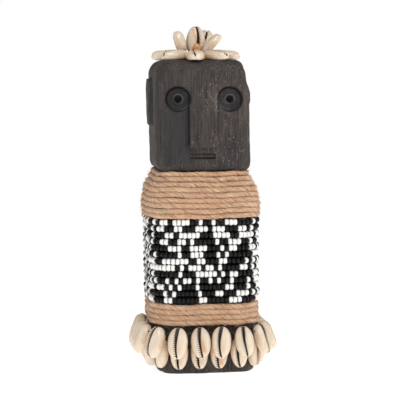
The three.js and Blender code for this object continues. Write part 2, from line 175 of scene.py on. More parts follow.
class Finish:
    """A material built from nodes round one Principled shader."""

    def __init__(self, name, **constants):
        self.material = bpy.data.materials.new(name)
        self.material.use_nodes = True
        self.tree = self.material.node_tree
        self.shader = self.tree.nodes["Principled BSDF"]
        for socket, value in constants.items():
            self.shader.inputs[socket.replace("_", " ")].default_value = value

    def node(self, kind, settings=(), inputs=(), output=0):
        node = self.tree.nodes.new("ShaderNode" + kind)
        for setting, value in dict(settings).items():
            if setting == "stops":
                ramp = node.color_ramp
                while len(ramp.elements) < len(value):
                    ramp.elements.new(0.5)
                for stop, (place, colour) in zip(ramp.elements, value):
                    stop.position, stop.color = place, colour
            else:
                setattr(node, setting, value)
        pairs = inputs.items() if isinstance(inputs, dict) else enumerate(inputs)
        for socket, value in pairs:
            if isinstance(value, Wire):
                self.tree.links.new(value.socket, node.inputs[socket])
            else:
                node.inputs[socket].default_value = value
        return Wire(self, node.outputs[output])

    def place(self):
        return self.node("TexCoord", output="Object")

    def parts(self, vector):
        """The X, Y and Z of a vector, as three wires."""
        return [self.node("SeparateXYZ", (), [vector], output=i) for i in range(3)]

    def read(self, attribute, output="Fac"):
        return self.node("Attribute", {"attribute_name": attribute}, output=output)

    def stretch(self, vector, x, y, z):
        return self.node("VectorMath", {"operation": "MULTIPLY"}, [vector, (x, y, z)])

    def noise(self, vector, scale=1.0, detail=2.0, roughness=0.5, distortion=0.0):
        return self.node("TexNoise", (), {"Vector": vector, "Scale": scale, "Detail": detail,
                                          "Roughness": roughness, "Distortion": distortion})

    def step(self, value, low, high):
        """0 below low and 1 above high, and smooth between. Low may be the larger one."""
        return self.node("MapRange", {"interpolation_type": "SMOOTHSTEP"},
                         {"Value": value, "From Min": low, "From Max": high})

    def blend(self, factor, first, second, how="MIX"):
        return self.node("Mix", {"data_type": "RGBA", "blend_type": how},
                         {0: factor, 6: first, 7: second}, output=2)

    def finish(self, **wires):
        for socket, value in wires.items():
            self.tree.links.new(value.socket, self.shader.inputs[socket.replace("_", " ")])
        return self.material

    def bump(self, height, strength, distance):
        return self.node("Bump", (), {"Height": height, "Strength": strength, "Distance": distance})


# %% The floor's finish
pale = Finish("pale_floor", Roughness=0.9, Emission_Color=(1, 1, 1, 1), Emission_Strength=0.74)
pale_cloud = pale.noise(pale.place(), 3.0, 2.0)
floor.data.materials.append(
    pale.finish(Base_Color=pale.blend(pale_cloud, hue("FCFCFB"), hue("F8F8F7"))))
print("floor finish:", floor.data.materials[0].name)

# %% [markdown]
# ## Working by hand in edit mode
#
# Blender's edit operators act on what is selected. `shaping` opens edit mode on one piece with
# nothing selected, and `pick` selects by a test on each face, edge or vertex, so that a place is
# named by where it is and not by its number. `push` is the sculpting tool: it writes how far each
# point should move into a vertex group, and a Displace modifier moves the points that far.

# %% Select and shape


def alone(obj):
    bpy.ops.object.select_all(action="DESELECT")
    obj.select_set(True)
    bpy.context.view_layer.objects.active = obj


@contextmanager
def shaping(obj):
    alone(obj)
    bpy.ops.object.mode_set(mode="EDIT")
    bpy.ops.mesh.select_all(action="DESELECT")
    yield
    bpy.ops.object.mode_set(mode="OBJECT")


def pick(kind, test):
    """In edit mode: selects the faces, edges or vertices that pass a test, and nothing else."""
    obj = bpy.context.edit_object
    bpy.ops.mesh.select_mode(type=kind)
    bpy.ops.mesh.select_all(action="DESELECT")
    shape = bmesh.from_edit_mesh(obj.data)
    shape.normal_update()
    for part in {"FACE": shape.faces, "EDGE": shape.edges, "VERT": shape.verts}[kind]:
        part.select_set(bool(test(part)))
    shape.select_flush_mode()
    bmesh.update_edit_mesh(obj.data)


# %% Apply, push and carve


def settle(obj):
    """Moves an object's place, turn and size into its mesh."""
    alone(obj)
    bpy.ops.object.transform_apply(location=True, rotation=True, scale=True)
    return obj


def change(obj, kind, **settings):
    """Adds a modifier with these settings, and applies it."""
    alone(obj)
    modifier = obj.modifiers.new(kind.lower(), kind)
    for setting, value in settings.items():
        setattr(modifier, setting, value)
    bpy.ops.object.modifier_apply(modifier=modifier.name)
    return obj


def push(obj, direction, amount):
    """Moves points along X, Y, Z or their NORMAL. amount gives each distance in metres: it is a
    function of the point, or a list."""
    far = [amount(v.co) for v in obj.data.vertices] if callable(amount) else amount
    for way in (1, -1):
        most = max(0.0, max(way * f for f in far))
        if most < 1e-7:
            continue
        group = obj.vertex_groups.new(name="push")
        for i, f in enumerate(far):
            if way * f > 0:
                group.add([i], way * f / most, "REPLACE")
        change(obj, "DISPLACE", direction=direction, mid_level=0, strength=way * most,
               vertex_group=group.name)
        obj.vertex_groups.remove(obj.vertex_groups["push"])
    return obj


def carve(obj, cutter, how="DIFFERENCE"):
    """Joins a second solid to the first, or cuts it away, and removes it."""
    change(obj, "BOOLEAN", operation=how, object=cutter, solver="EXACT")
    bpy.data.objects.remove(cutter)
    return obj


def new_piece(name, points, faces):
    """A piece from its points, in metres, and its faces."""
    mesh = bpy.data.meshes.new(name)
    mesh.from_pydata(points, [], faces)
    obj = bpy.data.objects.new(name, mesh)
    scene.collection.objects.link(obj)
    alone(obj)
    return obj


# %% [markdown]
# ## Heights and half widths
#
# The windings tell the heights: the top of the neck twine is just under the chin, and the beads and
# hip twine give the waist. Every level section of the trunk is a rectangular core grown outwards by
# a round margin. `along` walks round such an outline, and gives a point and the way out from it.

# %% Heights
GAP = 0.3                            # between pieces that touch
LEAN = 0.0147                        # the carving leans a little to the left
TRUNK_CORE = (17.2, 15.2)
HEAD_CORE = (19.5, 17.5)
HEAD_HALF = 29.2
TWINES = {"neck_twine": (2.87, 9), "bead_strand": (3.72, 13), "hip_twine": (3.1, 4)}


def levels(node):
    """The middle heights of a winding's turns, from the top, and its radius, in mm."""
    diameter, turns = TWINES[node]
    low, high = (corner.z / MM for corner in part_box(node))
    first, last = high - diameter / 2, low + diameter / 2
    return [first + (last - first) * t / (turns - 1) for t in range(turns)], diameter / 2


head_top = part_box("carved_body")[1].z / MM
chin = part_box("neck_twine")[1].z / MM + GAP
waist_top = levels("bead_strand")[0][0] + 0.2
step_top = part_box("hip_twine")[0].z / MM - 0.6
trunk_profile = [(0, 30.4), (step_top - 2, 30.4), (step_top, 30.6), (waist_top, 30.6),
                 (waist_top + 4.5, 31.8), (waist_top + 9, 32.4), (waist_top + 18, 30.6),
                 (chin, 24.0), (chin + 20, 24.0)]


print(f"chin {chin:.2f}  head top {head_top:.2f}  waist {step_top:.2f} to {waist_top:.2f} mm")

# %% Half widths and outlines


def half_width(height):
    heights, widths = zip(*trunk_profile)
    return float(np.interp(height, heights, widths))


def along(core, margin, length):
    """Anticlockwise round the outline, from the middle of the front: (x, y) and the way out."""
    arc = math.pi / 2 * margin
    length %= 4 * sum(core) + 4 * arc
    x, y = core
    angle, here = -math.pi / 2, Vector((0, -y))
    for run, corner in ((x, (1, -1)), (2 * y, (1, 1)), (2 * x, (-1, 1)), (2 * y, (-1, -1)),
                        (x, None)):
        if length <= run or corner is None:
            here = here + length * Vector((-math.sin(angle), math.cos(angle)))
            break
        length -= run
        here = Vector((corner[0] * x, corner[1] * y))
        if length <= arc:
            angle += length / margin
            break
        length -= arc
        angle += math.pi / 2
    way = Vector((math.cos(angle), math.sin(angle)))
    return here + way * margin, way


waist_margin = half_width(step_top) - TRUNK_CORE[0]
print(f"round the waist: {4 * sum(TRUNK_CORE) + 2 * math.pi * waist_margin:.0f} mm")

# %% [markdown]
# ## Blackened wood
#
# The block was charred or stained black, then handled: the grain runs up and down, a browner tone
# shows through where it has worn, fine dark pores follow the grain, and light scratches cross it.
# Everything reads the object's own coordinates. They are squeezed along Z, which draws the noise
# out into grain. The knife left the cut below the left eye and the eyes themselves smoother,
# darker and a little bluer than the rest. Painted shade darkens the crease left of the nose, a
# painted highlight lightens each eye's raised ring and lower rim, and the nose's right edge has
# been rubbed pale.

# %% Where the cuts lie
NOSE_MIDDLE, NOSE_HALF, NOSE_RISE = -0.9, 8.2, 2.4
NOSE_BOTTOM, NOSE_TOP, CHEEK_WIDTH, CUT_BOTTOM = 14.5, 52.5, 15, 2.5
EYE_HEIGHT, EYE_SIDE, EYE_RADIUS = 43.9, 16, 8.1

wood = Finish("blackened_wood", Specular_IOR_Level=0.3)
wood_place = wood.place()
wood_x, wood_y, wood_z = wood.parts(wood_place)
wood_x = (wood_x + wood_z * LEAN) * 1000
wood_up = wood_z * 1000 - chin


nose_left, nose_right = NOSE_MIDDLE - NOSE_HALF, NOSE_MIDDLE + NOSE_HALF
front = wood.step(wood_y, -0.020, -0.024)
cheeks = front * wood.step(wood_up, 2, 10) * wood.step(wood_up, 56, 40)
left_cheek = (cheeks * wood.step(wood_x, nose_left + 0.3, nose_left - 0.4)
              * wood.step(wood_x, nose_left - 18, nose_left - 12))
right_cheek = (cheeks * wood.step(wood_x, nose_right, nose_right + 1)
               * wood.step(wood_x, nose_right + 12, nose_right + 5))
eye_across = abs(wood_x) - EYE_SIDE
eye_over = wood_up - EYE_HEIGHT
from_eye = (eye_across * eye_across + eye_over * eye_over) ** 0.5
in_eye = front * wood.step(from_eye, EYE_RADIUS + 0.1, EYE_RADIUS - 0.5)
nose_length = (front * wood.step(wood_up, NOSE_BOTTOM, NOSE_BOTTOM + 3)
               * wood.step(wood_up, 51, 44))
# painted shade: the crease in the corner left of the nose is darkened in colour
nose_crease_shade = nose_length * wood.step(abs(wood_x - (nose_left - 0.35)), 0.85, 0.15)
right_edge = abs(wood_x - (nose_right + 0.1))

# %% Grain, wear, scratches and painted highlights
grain = wood.noise(wood.stretch(wood_place, 1100, 1100, 38), 1, 5, 0.62, 0.25)
pores = wood.noise(wood.stretch(wood_place, 2300, 2300, 170), 1, 3, 0.6)
mottle = wood.noise(wood.stretch(wood_place, 62, 62, 30), 1, 4, 0.6, 0.6)
rub = wood.noise(wood.stretch(wood_place, 120, 120, 70), 1, 5, 0.7)
scratch_field = wood.noise(wood.stretch(wood_place, 1500, 1500, 170), 1, 2, 0.5, 1.6)
speck_field = wood.noise(wood.stretch(wood_place, 1300, 1300, 700), 1, 2, 0.6)
hand_field = wood.noise(wood.stretch(wood_place, 420, 420, 260), 1, 1, 0.5, 2.5)
smooth_cut = left_cheek * 0.9 + in_eye * 0.6 * (1 - left_cheek)
handled = wood.step(wood_x, -8, 4) * 0.6 + 0.4       # the middle and the right were handled most
worn = wood.step(mottle, 0.42, 0.66) * handled * (1 - smooth_cut * 0.8)
touched = handled * (1 - smooth_cut)
scratches = wood.step(scratch_field, 0.62, 0.70) * wood.step(rub, 0.42, 0.62) * touched
specks = wood.step(speck_field, 0.60, 0.70) * wood.step(rub, 0.42, 0.56) * touched
scrawls = (wood.step(abs(hand_field - 0.5), 0.018, 0.004) * wood.step(mottle, 0.50, 0.62)
           * wood.step(rub, 0.46, 0.6))
# painted highlights: the raised ring round each pupil and the lower rim of each eye are lightened
# in colour
eye_ring_highlight = (front * wood.step(abs(from_eye - 3.1), 0.65, 0.15)
            * wood.step(rub + eye_over * 0.03, 0.35, 0.6))
rim_light = front * wood.step(abs(from_eye - 7.0), 0.5, 0.1) * wood.step(eye_over, -1.5, -5)
rubbed_edge = (nose_length * wood.step(right_edge, 0.55, 0.1) * wood.step(wood_up, 20, 32)
               * wood.step(rub, 0.4, 0.55))
pore_marks = wood.step(pores, 0.42, 0.30)

# %% The wood's colours
wood_tone = wood.blend(wood.step(grain, 0.32, 0.70), hue("2B2827"), hue("4D4744"))
wood_tone = wood.blend(worn * 0.8, wood_tone,
                       wood.blend(wood.step(grain, 0.35, 0.68), hue("3A3230"), hue("66564F")))
for mask, first, second in ((smooth_cut * 0.72, "2A2A2C", "383739"),
                            (in_eye * 0.8, "1D1D1E", "2C2B2B")):
    wood_tone = wood.blend(mask, wood_tone, wood.blend(grain, hue(first), hue(second)))
# the first mark is a painted highlight on the eyes and the dark in the nose's crease is painted
# shade; the rest are the wood's own tones and marks
for mask, colour in ((eye_ring_highlight * 0.38 + rim_light * 0.40, "77726F"), (right_cheek * 0.18, "3F4046"),
                     (pore_marks * 0.6, "1A1818"), (scratches * 0.55, "A0958A"),
                     (specks * 0.55, "ACA298"), (scrawls * 0.35, "8F857C"),
                     (nose_crease_shade * 0.85, "0E0D0D"), (rubbed_edge * 0.55, "B0A59A")):
    wood_tone = wood.blend(mask, wood_tone, hue(colour))
# the black stain darkens all of it
wood_tone = wood.blend(1.0, wood_tone, (0.80, 0.79, 0.78, 1), "MULTIPLY")
wood_height = grain * 0.6 - pore_marks * 0.55 + scratches * 0.25 + rub * 0.4
blackened_wood = wood.finish(
    Base_Color=wood_tone,
    Roughness=0.76 - wood.step(mottle, 0.35, 0.7) * 0.14 + in_eye * 0.05,
    Normal=wood.bump(wood_height * (1 - smooth_cut * 0.5), 0.6, 0.35 * MM))
print(blackened_wood.name, len(wood.tree.nodes), "nodes")

# %% [markdown]
# ## The carved block
#
# The block begins as two boxes, trunk and head. The trunk's top face is extruded level by level,
# and its upright edges are bevelled round. The head's edges are bevelled too, most at the top.
# The cheeks are cut with shaped cutters, as a carver takes wood away. A voxel remesh then makes
# one skin of it all, a smoothing pass wears the edges, and Displace modifiers give the faces the
# slight waviness that a knife and rasp leave. The eyes and the mouth are cut last, because a
# remesh would blunt their fine edges.

# %% Trunk and head


def box(name, low, high):
    """A box between two corners, in mm."""
    bpy.ops.object.select_all(action="DESELECT")
    middle = [(a + b) / 2 * MM for a, b in zip(low, high)]
    bpy.ops.mesh.primitive_cube_add(size=1, location=middle,
                                    scale=[(b - a) * MM for a, b in zip(low, high)])
    obj = bpy.context.object
    obj.name = name
    return settle(obj)


def upright(edge):
    a, b = (v.co for v in edge.verts)
    return abs(a.z - b.z) > 0.9 * (a - b).length


def level_at(height):
    return lambda part: all(abs(v.co.z - height * MM) < 1e-6 for v in part.verts)


foot_half = trunk_profile[0][1]
foot_depth = foot_half - TRUNK_CORE[0] + TRUNK_CORE[1]
block = box("carved_block", (-foot_half, -foot_depth, 0),
            (foot_half, foot_depth, trunk_profile[1][0]))
with shaping(block):
    pick("EDGE", upright)
    bpy.ops.mesh.bevel(offset=13.2 * MM, segments=12, affect="EDGES")
    for (low, before), (high, after) in zip(trunk_profile[1:], trunk_profile[2:]):
        pick("FACE", level_at(low))
        rise = {"value": (0, 0, (high - low) * MM)}
        bpy.ops.mesh.extrude_region_move(TRANSFORM_OT_translate=rise)
        shift = TRUNK_CORE[1] - TRUNK_CORE[0]
        bpy.ops.transform.resize(value=(after / before, (after + shift) / (before + shift), 1),
                                 center_override=(0, 0, high * MM))
    pick("EDGE", level_at(0))
    bpy.ops.mesh.bevel(offset=1.8 * MM, segments=4, affect="EDGES")

# %% The head
head_depth = HEAD_HALF - HEAD_CORE[0] + HEAD_CORE[1]
head = box("head", (-HEAD_HALF, -head_depth, chin), (HEAD_HALF, head_depth, head_top))
with shaping(head):
    pick("EDGE", upright)
    bpy.ops.mesh.bevel(offset=9.7 * MM, segments=14, affect="EDGES")
    pick("EDGE", level_at(head_top))
    bpy.ops.mesh.bevel(offset=9.4 * MM, segments=12, affect="EDGES")
    pick("EDGE", level_at(chin))
    bpy.ops.mesh.bevel(offset=4.4 * MM, segments=6, affect="EDGES")
carve(block, head, "UNION")

# %% Ears


def ear(side, bottom, top):
    """A flat-topped ridge on the side of the head."""
    x = side * HEAD_HALF
    ridge = box("ear", (x - 3, -6, chin + bottom), (x + 3, 6, chin + top))
    with shaping(ridge):
        pick("FACE", lambda f: f.normal.x * side > 0.9)
        bpy.ops.mesh.inset(thickness=2.2 * MM)
        bpy.ops.transform.translate(value=(-side * 0.4 * MM, 0, 0))
        pick("FACE", lambda f: f.normal.x * side > 0.9)
        bpy.ops.transform.resize(value=(1, 1, 0.9), center_override=(x * MM, 0, (chin + top) * MM))
        pick("EDGE", lambda e: True)
        bpy.ops.mesh.bevel(offset=1.6 * MM, segments=4, affect="EDGES")
    return ridge


for side, bottom, top in ((-1, 24.5, 56.5), (1, 38.5, 53.5)):
    carve(block, ear(side, bottom, top), "UNION")
print("block with head and ears:", len(block.data.polygons), "faces")

# %% The eyes' cutters


def eye_cutter(side):
    """A turned cutter: a sloping rim, a groove, the eye's flat, a raised ring and the pupil."""
    bpy.ops.object.select_all(action="DESELECT")
    bpy.ops.mesh.primitive_cylinder_add(vertices=64, radius=EYE_RADIUS * MM, depth=8 * MM,
                                        rotation=(-math.pi / 2, 0, 0))
    cutter = settle(bpy.context.object)
    with shaping(cutter):
        pick("FACE", lambda f: f.normal.y > 0.9)
        for thickness, depth in ((0.35, 1.1), (0.55, 0.6), (0.6, -0.7), (2.9, -0.15), (0.4, -0.75),
                                 (0.7, 0), (0.5, 0.75), (0.15, 2.6), (0.3, 0.3)):
            bpy.ops.mesh.inset(thickness=thickness * MM, depth=depth * MM)
        bpy.ops.mesh.select_all(action="SELECT")
        bpy.ops.transform.rotate(value=math.radians(-3.5 * side), orient_axis="Z")
        bpy.ops.transform.translate(value=(side * EYE_SIDE * MM, (-head_depth - 3.15) * MM,
                                           (chin + EYE_HEIGHT) * MM))
    return cutter


# %% The cheeks' cutters


def cheek_cutter(side):
    """A wedge, deepest beside the nose, that runs out towards the ear and fades into the brow."""
    inner = NOSE_MIDDLE + side * NOSE_HALF
    outer = inner + side * CHEEK_WIDTH
    cutter = box("cheek", (min(inner, outer), -head_depth - 6, chin + NOSE_BOTTOM),
                 (max(inner, outer), -head_depth + NOSE_RISE, chin + NOSE_TOP))
    with shaping(cutter):
        bpy.ops.mesh.select_all(action="SELECT")
        bpy.ops.mesh.bisect(plane_co=(0, 0, (chin + NOSE_TOP - 9) * MM), plane_no=(0, 0, 1))
        pick("VERT", lambda v: v.co.y > -head_depth * MM and (
            abs(v.co.x - outer * MM) < 1e-5 or v.co.z > (chin + NOSE_TOP) * MM - 1e-6))
        bpy.ops.transform.translate(value=(0, -NOSE_RISE * MM, 0))
    return cutter


def lower_face_cutter():
    """Goes on below the cheeks and the nose, and fades out above the chin."""
    wide = NOSE_HALF + CHEEK_WIDTH
    # a hair past the other cuts, because a cutter that lies exactly in a face can fail to cut
    cutter = box("lower_face", (NOSE_MIDDLE - wide - 0.03, -head_depth - 6, chin + CUT_BOTTOM),
                 (NOSE_MIDDLE + wide + 0.03, -head_depth - 0.02, chin + NOSE_BOTTOM + 0.02))

    def at_top_of_back(p):
        return p.y > (-head_depth - 1) * MM and p.z > (chin + NOSE_BOTTOM) * MM - 1e-6

    def deeper(p):
        depth = np.interp(abs(p.x / MM - NOSE_MIDDLE), [NOSE_HALF, wide], [NOSE_RISE, 0])
        return float(depth) * MM if at_top_of_back(p) else 0

    with shaping(cutter):
        pick("EDGE", lambda edge: all(at_top_of_back(v.co) for v in edge.verts))
        bpy.ops.mesh.subdivide(number_cuts=19)
    return push(cutter, "Y", deeper)


# %% The mouth's cutter


def mouth_cutter():
    """A slot with a low ridge left standing along its middle, shallower at its left end."""
    slot = box("mouth", (NOSE_MIDDLE - 8.2, -head_depth - 6, chin + 7.4),
               (NOSE_MIDDLE + 7.6, -head_depth + 2.9, chin + 11.0))
    with shaping(slot):
        pick("VERT", lambda v: v.co.y > (-head_depth + 1) * MM and v.co.x < NOSE_MIDDLE * MM)
        bpy.ops.transform.translate(value=(0, -0.7 * MM, 0))
    lip = box("lip", (NOSE_MIDDLE - 9, -head_depth + 1.5, chin + 8.7),
              (NOSE_MIDDLE + 6.4, -head_depth + 6, chin + 9.7))
    return carve(slot, lip)


# %% One worn skin
for cutter in (cheek_cutter(-1), cheek_cutter(1), lower_face_cutter()):
    carve(block, cutter)
change(block, "REMESH", mode="VOXEL", voxel_size=0.5 * MM)
change(block, "SMOOTH", factor=0.5, iterations=1)


def waviness(name, size, strength, direction="NORMAL"):
    texture = bpy.data.textures.new(name, "CLOUDS")
    texture.noise_scale, texture.noise_depth = size * MM, 2
    change(block, "DISPLACE", texture=texture, texture_coords="LOCAL", direction=direction,
           strength=strength * MM, mid_level=0.5)


waviness("rasp", 16, 0.9)
waviness("knife", 4, 0.22)

# %% Uneven corners and foot


def right_shoulder(p):
    """The head's top right corner was taken down further than the left one."""
    down = head_top - p.z / MM
    if down > 20 or p.x < 0:
        return 0
    return -np.interp(down, [0, 2.5, 5, 12.5, 20], [0.3, 1.4, 2.2, 1.6, 0]) * MM * np.interp(
        p.x / MM, [10, 27], [0, 1])


def foot_bulge(p):
    """The foot's front and back are slightly round, most at the bottom."""
    if abs(p.x) >= foot_half * MM or p.z >= 24 * MM:
        return 0
    return (math.copysign(1.3 * MM, p.y) * (1 - (p.x / (foot_half * MM)) ** 2)
            * min(1, abs(p.y) / (20 * MM)) * np.interp(p.z / MM, [0, 12, 24], [1, 0.7, 0]))


def flat_bottom(p):
    under = p.z < 0.6 * MM and max(abs(p.x), abs(p.y)) < 27 * MM
    return -p.z if under else max(0, -p.z)


push(block, "X", right_shoulder)
push(block, "Y", foot_bulge)
push(block, "Z", flat_bottom)
change(block, "DECIMATE", ratio=0.32)

# %% Eyes and mouth, and the lean of the whole carving
for cutter in (eye_cutter(-1), eye_cutter(1), mouth_cutter()):
    carve(block, cutter)
push(block, "X", lambda p: -LEAN * p.z)
alone(block)
bpy.ops.object.shade_smooth_by_angle(angle=math.radians(40))
block.data.materials.clear()
block.data.materials.append(blackened_wood)
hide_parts("carved_body")
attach(block, "doll")
print("carved block:", len(block.data.polygons), "faces")

# %% [markdown]
# ## Jute twine
#
# Jute twine is spun from coarse fibres, and three thin strands are twisted into one. The strands
# bulge, so the twine has grooves that wind round it. Each winding is one tube with three lobes:
# the tube's rings turn a little from one to the next, so the lobes wind as the strands do. Three
# attributes say how far along, how far round and how deep in a groove each point is, and the
# material draws fibres with them. Loose fibres stand off it as thin hairs.

# %% The jute material


def jute_material(name, light, middle, dark):
    jute = Finish(name, Specular_IOR_Level=0.12, Sheen_Weight=0.3, Sheen_Roughness=0.6)
    route = jute.read("route", "Vector")
    groove = jute.read("groove")
    fibre = jute.noise(jute.stretch(route, 360, 9, 9), 1, 5, 0.75, 0.6)
    streak = jute.noise(jute.stretch(route, 120, 3.4, 3.4), 1, 3, 0.62, 0.5)
    patch = jute.noise(jute.stretch(route, 34, 0.4, 0.4), 1, 3, 0.6)
    strand_end = jute.noise(jute.stretch(jute.place(), 900, 900, 1700), 1, 4, 0.75)
    body = jute.noise(jute.stretch(jute.place(), 90, 90, 90), 1, 2, 0.5)
    tone = jute.blend(jute.step(fibre, 0.34, 0.66), middle, light)
    tone = jute.blend(jute.step(streak, 0.48, 0.64) * 0.68, tone, dark)
    tone = jute.blend(jute.step(patch + body * 0.4, 0.62, 0.86) * 0.45, tone, hue("C58B5E"))
    tone = jute.blend(jute.step(strand_end, 0.56, 0.68) * 0.65, tone, hue("F0D6BA"))
    tone = jute.blend(jute.step(strand_end, 0.44, 0.33) * 0.60, tone, dark)
    # painted shade: the grooves between the strands are darkened in colour
    tone = jute.blend(jute.step(groove, 0.35, 1.0) * 0.26, tone, dark)
    return jute.finish(Base_Color=tone, Roughness=0.95 - fibre * 0.2,
                       Normal=jute.bump(fibre + strand_end * 1.2 - groove * 0.2, 1.0, 0.22 * MM))


jute = jute_material("jute_fibre", hue("F1CFAE"), hue("C79A74"), hue("7C5234"))

# %% The line of a winding


def route_round(node, outward=0.0, every=0.8):
    """The line of a winding, from the top: places, ways out and how many turns lie above."""
    heights, radius = levels(node)
    places, ways, turns = [], [], []

    def margin_at(height):
        widest = max(half_width(height + d) for d in (-radius, 0, radius))
        return widest - TRUNK_CORE[0] + GAP + radius + outward

    def reach_at(margin):
        """How far a turn runs level, from the middle of the front to the flat of the back."""
        return TRUNK_CORE[0] + 2 * TRUNK_CORE[1] + math.pi * margin

    for turn, height in enumerate(heights):
        margin = margin_at(height)
        steps = int(2 * reach_at(margin) / every)
        last = turn == len(heights) - 1
        after = height if last else heights[turn + 1]
        lowered = margin if last else margin_at(after)
        back = 0 if last else int(2 * TRUNK_CORE[0] / every)
        for step in range(steps + back):
            share = max(0, step - steps) / max(1, back)
            now = margin + (lowered - margin) * share
            flat, way = along(TRUNK_CORE, now, reach_at(now) * (2 * min(step, steps) / steps - 1)
                              + 2 * TRUNK_CORE[0] * share)
            z = height + (after - height) * share
            places.append((flat.x, flat.y, z))
            ways.append((way.x, way.y, 0))
            turns.append(turn + share)
    places = np.array(places)
    places[:, 0] -= LEAN * places[:, 2]
    return places, np.array(ways), turns


def waver(places, ways, aside, outwards, size):
    """Lets a line wander a little, the same way as its neighbours, so that they don't cross."""
    moved = places.copy()
    for i, place in enumerate(places):
        at = Vector(place / size)
        at.z *= 0.6
        moved[i, 2] += aside * noise.noise(at)
        moved[i] += ways[i] * outwards * (noise.noise(at + Vector((9, 4, 7))) - 0.3)
    return moved


# %% A twisted cord


def write(mesh, name, kind, field, values):
    """Stores one value for each point of a mesh, for the material to read."""
    attribute = mesh.attributes.new(name, kind, "POINT")
    attribute.data.foreach_set(field, np.ascontiguousarray(values, dtype=np.float32).ravel())


def cord_mesh(name, places, ways, radius, strands, lay, around=12, groove=0.14, closed=False,
              seed=1):
    """A tube of twisted strands along a line, in mm. lay is the length of one full twist."""
    count = len(places)
    ahead = np.roll(places, -1, 0) - np.roll(places, 1, 0)
    if not closed:
        ahead[0], ahead[-1] = places[1] - places[0], places[-1] - places[-2]
    ahead /= np.linalg.norm(ahead, axis=1)[:, None]
    side = np.cross(ahead, ways)
    side /= np.linalg.norm(side, axis=1)[:, None]
    out = np.cross(side, ahead)
    gone = np.concatenate([[0], np.cumsum(np.linalg.norm(np.diff(places, axis=0), axis=1))])
    twists = gone / lay
    if closed:
        twists *= round(gone[-1] / lay * strands) / strands / (gone[-1] / lay)
    ring = 2 * math.pi * np.arange(around) / around
    dip = np.abs(np.cos(strands / 2 * ring)) ** 1.3            # 0 in a groove, 1 on a strand
    random.seed(seed)
    drift = random.random() * 90
    swell = np.array([1 + 0.13 * noise.noise(Vector((g / 8, drift, 0))) for g in gone])
    if not closed:
        twists += np.array([0.22 * noise.noise(Vector((g / 11, drift, 5))) for g in gone])
    angle = ring[None, :] + 2 * math.pi * twists[:, None]
    reach = radius * swell[:, None] * (1 - groove + groove * dip)[None, :]
    points = (places[:, None] + reach[..., None] * (np.cos(angle)[..., None] * out[:, None]
              + np.sin(angle)[..., None] * side[:, None])).reshape(-1, 3) * MM
    faces = []
    for i in range(count if closed else count - 1):
        for k in range(around):
            a, b = i * around + k, i * around + (k + 1) % around
            c, d = ((i + 1) % count) * around + (k + 1) % around, ((i + 1) % count) * around + k
            faces.append((a, b, c, d))
    if not closed:
        faces += [tuple(range(around))[::-1], tuple(range((count - 1) * around, count * around))]
    obj = new_piece(name, points.tolist(), faces)
    with shaping(obj):
        bpy.ops.mesh.select_all(action="SELECT")
        bpy.ops.mesh.normals_make_consistent(inside=False)
    bpy.ops.object.shade_smooth()
    # fibres follow a strand, so their pattern winds with it
    route = np.stack([np.broadcast_to(gone[:, None] * MM, reach.shape),
                      np.broadcast_to(np.cos(ring) * 0.5, reach.shape),
                      np.broadcast_to(np.sin(ring) * 0.5, reach.shape)], axis=-1)
    write(obj.data, "route", "FLOAT_VECTOR", "vector", route)
    write(obj.data, "groove", "FLOAT", "value", np.broadcast_to(1 - dip, reach.shape))
    return obj


# %% Loose fibres


def hairs(name, places, ways, radius, count, length, thick, seed):
    """Loose fibres that leave a cord and curl away, each a thin three-sided tube."""
    random.seed(seed)
    points, faces, route = [], [], []
    for _ in range(count):
        i = random.randrange(2, len(places) - 2)
        ahead = Vector(places[i + 1] - places[i - 1]).normalized()
        out = Vector(ways[i])
        lift = out * random.uniform(0.2, 1) + Vector((0, 0, random.uniform(-0.8, 0.8)))
        lift.normalize()
        here = Vector(places[i]) + lift * radius * 0.85
        heading = (ahead * random.choice((-1, 1)) + lift * random.uniform(0.05, 0.55)).normalized()
        bend = Vector([random.uniform(-0.4, 0.4) for _ in range(3)])
        step = random.uniform(0.5, 1) * length / 4
        start = len(points)
        for k in range(5):
            a = heading.orthogonal().normalized()
            b = heading.cross(a)
            for turn in (0, 2.1, 4.2):
                size = thick * (1 - 0.6 * k / 4)
                points.append((here + (a * math.cos(turn) + b * math.sin(turn)) * size) * MM)
                route.append((random.random() * 0.01, 0, 0))
            if k:
                r = start + 3 * k
                faces += [(r - 3 + j, r - 3 + (j + 1) % 3, r + (j + 1) % 3, r + j)
                          for j in range(3)]
            here = here + heading * step
            heading = (heading + bend * 0.5).normalized()
        faces += [(start + 2, start + 1, start), (start + 12, start + 13, start + 14)]
    obj = new_piece(name, points, faces)
    write(obj.data, "route", "FLOAT_VECTOR", "vector", route)
    write(obj.data, "groove", "FLOAT", "value", [0.0] * len(points))
    return obj


def join(target, *others):
    alone(target)
    for other in others:
        other.select_set(True)
    bpy.ops.object.join()
    return target


# %% Wind the twine
for node, radius, loose, seed in (("neck_twine", 1.76, 1900, 11), ("hip_twine", 1.88, 900, 12)):
    places, ways, turn_numbers = route_round(node)
    places = waver(places, ways, 0.8, 0.35, 17)
    for i, (place, turn) in enumerate(zip(places, turn_numbers)):
        place[2] += 0.42 * noise.noise(Vector((place[0] / 9, place[1] / 9, turn * 7.7)))
    name = node.replace("_twine", "_jute")
    twine = cord_mesh(name, places, ways, radius, 3, 11.5, seed=seed)
    join(twine, hairs(name + "_hair", places, ways, radius, loose, 6.5, 0.07, seed))
    twine.data.materials.append(jute)
    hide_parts(node)
    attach(twine, "doll")
    print(name, len(twine.data.polygons), "faces")

# %% [markdown]
# ## Seed beads
#
# Seed beads are short cuts of glass tube with rounded ends. One bead is a small torus stretched
# into a barrel: a few dozen faces are enough for something four millimetres across. It is copied
# along the strand, black or white by a chart for the front. Past the chart's ends the colours
# carry on in short random runs.

